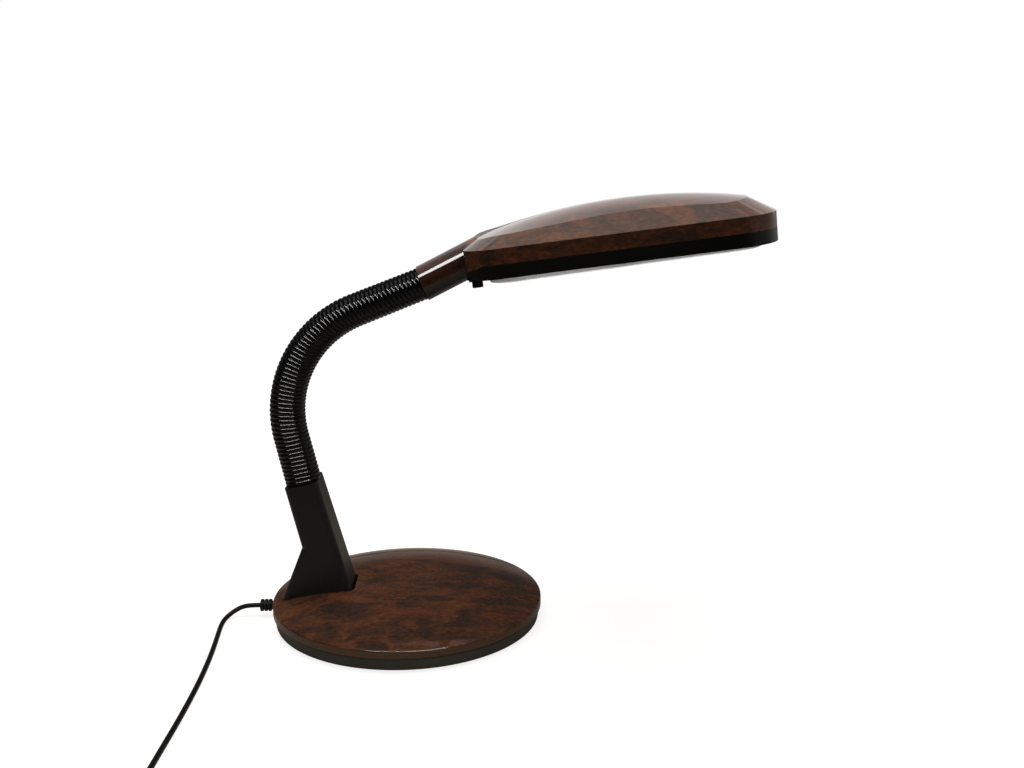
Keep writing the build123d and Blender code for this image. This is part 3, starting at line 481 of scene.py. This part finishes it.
join(centred.outputs[0], folded.inputs[0])
join(folded.outputs[0], doubled.inputs[0])
join(doubled.outputs[0], rounded.inputs[0])
join(rounded.outputs[0], cut.inputs[0])
join(given.outputs["Groove depth"], cut.inputs[1])
join(along.outputs["Factor"], taper.inputs["Value"])
join(given.outputs["Start radius"], taper.inputs["To Min"])
join(given.outputs["End radius"], taper.inputs["To Max"])
join(taper.outputs["Result"], radius.inputs[0])
join(cut.outputs[0], radius.inputs[1])
join(given.outputs["Sides"], circle.inputs["Resolution"])
join(even.outputs["Curve"], skin.inputs["Curve"])
join(circle.outputs["Curve"], skin.inputs["Profile Curve"])
join(radius.outputs[0], skin.inputs["Scale"])
join(skin.outputs["Mesh"], real.inputs["Geometry"])
join(real.outputs["Geometry"], painted.inputs["Geometry"])
join(given.outputs["Finish"], painted.inputs["Material"])
join(painted.outputs["Geometry"], result.inputs["Geometry"])

sleeve_black = moulded("sleeve_black", (0.0035, 0.0035, 0.0036), 0.14, 0.5, 0.002)
sleeve_black.node_tree.nodes["Principled BSDF"].inputs["Specular IOR Level"].default_value = 0.3
rib_pitch = neck_length / rib_total
taper_span = sleeve_head_radius - sleeve_foot_radius
for number in range(piece_total):
    start = rib_pitch * ribs_per_piece * number
    stop = rib_pitch * ribs_per_piece * (number + 1)
    line = bpy.data.curves.new("neck_line", "CURVE")
    line.dimensions = "3D"
    line.twist_mode = "Z_UP"
    spline = line.splines.new("POLY")
    spline.points.add(line_steps)
    for step, point in enumerate(spline.points):
        spot = neck_point(start + (stop - start) * step / line_steps)
        point.co = (*spot, 1.0)
    guide = bpy.data.objects.new("neck_guide", line)
    scene.collection.objects.link(guide)
    modifier = guide.modifiers.new("ribs", "NODES")
    modifier.node_group = hose_tree
    share = start / neck_length
    end_share = stop / neck_length
    modifier[hose_inputs["Ribs"]] = ribs_per_piece
    modifier[hose_inputs["Rings per rib"]] = rings_per_rib
    modifier[hose_inputs["Sides"]] = hose_sides
    modifier[hose_inputs["Start radius"]] = sleeve_foot_radius + taper_span * share
    modifier[hose_inputs["End radius"]] = sleeve_foot_radius + taper_span * end_share
    modifier[hose_inputs["Groove depth"]] = groove_depth
    modifier[hose_inputs["Finish"]] = sleeve_black
    shown = guide.evaluated_get(bpy.context.evaluated_depsgraph_get())
    mesh = bpy.data.meshes.new_from_object(shown)
    bpy.data.objects.remove(guide)
    mesh.polygons.foreach_set("use_smooth", [True] * len(mesh.polygons))
    hose = bpy.data.objects.new(f"sleeve_stretch_{number + 1}", mesh)
    scene.collection.objects.link(hose)
    bpy.data.collections["rib_strip"].objects.link(hose)
    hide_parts(f"neck_sleeve_{number}")
    if number == piece_total - 1:
        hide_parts("neck_sleeve_8")
    neck_point(start + rib_pitch)
    neck_point(stop - rib_pitch / 2)
    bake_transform(hose)

# Head hood: the long faceted top shell with the same burl print under lacquer,
# its socket that takes the neck darkened with painted shade. It closes on the black
# frame along a thin parting line.
hood_burl, tree, shader, print_colour = burl_print(
    "hood_burl", centre=(0.31, 0.17, 0.0), turn=(0.0, 0.12, 0.0), strength=1.75
)
hood_place = tree.nodes.new("ShaderNodeTexCoord")
hood_axes = tree.nodes.new("ShaderNodeSeparateXYZ")
tree.links.new(hood_place.outputs["Object"], hood_axes.inputs["Vector"])
# The print is scaled darker towards the socket end: painted shade where the socket faces down,
# away from the light.
socket_painted_shade = tree.nodes.new("ShaderNodeVectorMath")
socket_painted_shade.operation = "SCALE"
tree.links.new(print_colour, socket_painted_shade.inputs["Vector"])
socket_shade_share = band(tree, hood_axes.outputs["X"], 0.048, 0.062, 0.55, 1.0)
tree.links.new(socket_shade_share, socket_painted_shade.inputs["Scale"])
tree.links.new(socket_painted_shade.outputs["Vector"], shader.inputs["Base Color"])
dress(hood_burl, "head_hood")

# Head frame, switch case and button: the black lower half of the head, satin
# moulded plastic, with the push switch let in under its back end.
frame_black = moulded("frame_black", (0.0055, 0.0055, 0.005), 0.28, 0.5, 0.03)
dress(frame_black, "head_frame", "switch_case", "switch_button")

# Diffuser: the frosted tray under the tube, pale and a little translucent, with
# a faint cloudiness from its moulding.
frosted = moulded("frosted", (0.78, 0.79, 0.8), 0.45, 0.8, 0.05)
shader = frosted.node_tree.nodes["Principled BSDF"]
shader.inputs["Transmission Weight"].default_value = 0.15
dress(frosted, "diffuser")

# Reflector, tube, pins and ballast: what the diffuser hides, a white-coated sheet,
# a phosphor-lined twin tube and a small board with a choke and a capacitor.
white_sheet = moulded("white_sheet", (0.85, 0.85, 0.85), 0.35, 0.6, 0.02)
dress(white_sheet, "reflector")
phosphor = moulded("phosphor_tube", (0.85, 0.86, 0.84), 0.12, 0.6, 0.01)
dress(phosphor, "lamp_tube")
brass = moulded("brass", (0.6, 0.42, 0.16), 0.3, 0.4, 0.01)
brass.node_tree.nodes["Principled BSDF"].inputs["Metallic"].default_value = 1.0
dress(brass, "tube_pins", "plug_blades")
board_tan = moulded("board_tan", (0.3, 0.19, 0.08), 0.55, 0.8, 0.02)
dress(board_tan, "ballast_board")
ferrite = moulded("ferrite", (0.03, 0.03, 0.032), 0.6, 0.7, 0.1)
dress(ferrite, "ballast_choke")
sleeved_can = moulded("sleeved_can", (0.01, 0.02, 0.07), 0.3, 0.6, 0.02)
dress(sleeved_can, "ballast_capacitor")

# Power cord: a thin black lead that leaves the gland, drops to the table and runs
# out of the picture to its put-away coil, where the plug lies.
cord_radius = 0.0021
cord_route = [
    (-0.133, 0, 0.0101),
    (-0.1415, 0, 0.0101),
    (-0.1495, -0.0004, 0.0091),
    (-0.1565, -0.0018, 0.0058),
    (-0.1616, -0.0065, 0.0031),
    (-0.1636, -0.014, 0.00215),
    (-0.1632, -0.026, 0.00215),
    (-0.1606, -0.046, 0.00215),
    (-0.1572, -0.078, 0.00215),
    (-0.1548, -0.118, 0.00215),
    (-0.1544, -0.164, 0.00215),
    (-0.1554, -0.206, 0.00215),
    (-0.156, -0.256, 0.00275),
    (-0.156, -0.284, 0.00275),
]
coil_gap = 0.0006
coil_half_turns = 8
coil_outer_radius = 0.035
coil_tail_radius = 0.021
coil_tail_run = 0.006
tail_shares = (0.2, 0.5, 0.8)
points_per_half = 9
coil_step = 2 * cord_radius + coil_gap
# The coil winds in on the table by half turns, and out again one layer up.
half_radii = [coil_outer_radius - coil_step / 2 * number for number in range(coil_half_turns + 1)]
half_radii += half_radii[-2::-1]
coil_x, coil_y, coil_z = cord_route[-1]
coil_y -= 2 * cord_radius
points = [Vector(spot) for spot in cord_route]
# The curve runs a little inside its points, so these stand out by a factor.
swell = 2 / (1 + math.cos(math.pi / points_per_half))
side = 1
for number, half_radius in enumerate(half_radii):
    middle_x = coil_x + side * half_radius
    low = coil_z if number <= coil_half_turns else coil_z + coil_step
    high = coil_z if number < coil_half_turns else coil_z + coil_step
    for step in range(points_per_half):
        share = (step + 0.5) / points_per_half
        turn = math.pi * share
        arm = half_radius * swell
        points.append(Vector((
            middle_x - side * arm * math.cos(turn),
            coil_y - side * arm * math.sin(turn),
            low + (high - low) * share,
        )))
    coil_x += side * 2 * half_radius
    side = -side
top = coil_z + coil_step
for share in tail_shares:
    turn = math.pi / 2 * share
    points.append(Vector((
        coil_x + coil_tail_radius * (1 - math.cos(turn)),
        coil_y + coil_tail_radius * math.sin(turn),
        top,
    )))
for run in (0.0, coil_tail_run):
    points.append(Vector((coil_x + coil_tail_radius + run, coil_y + coil_tail_radius, top)))
cord_line = bpy.data.curves.new("power_cord", "CURVE")
cord_line.dimensions = "3D"
cord_line.bevel_depth = cord_radius
cord_line.bevel_resolution = 5
cord_line.use_fill_caps = True
spline = cord_line.splines.new("NURBS")
spline.points.add(len(points) - 1)
for point, spot in zip(spline.points, points):
    point.co = (*spot, 1.0)
spline.order_u = 3
spline.use_endpoint_u = True
spline.resolution_u = 8
cord = bpy.data.objects.new("lead", cord_line)
scene.collection.objects.link(cord)
cord_black = moulded("cord_black", (0.005, 0.005, 0.005), 0.38, 0.7, 0.02)
cord_line.materials.append(cord_black)
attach(cord, "base")
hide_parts("power_cord", "cord_coil")
gland_rubber = moulded("gland_rubber", (0.006, 0.006, 0.006), 0.5, 0.6, 0.03)
dress(gland_rubber, "cord_gland", "plug_body", "coil_tie")
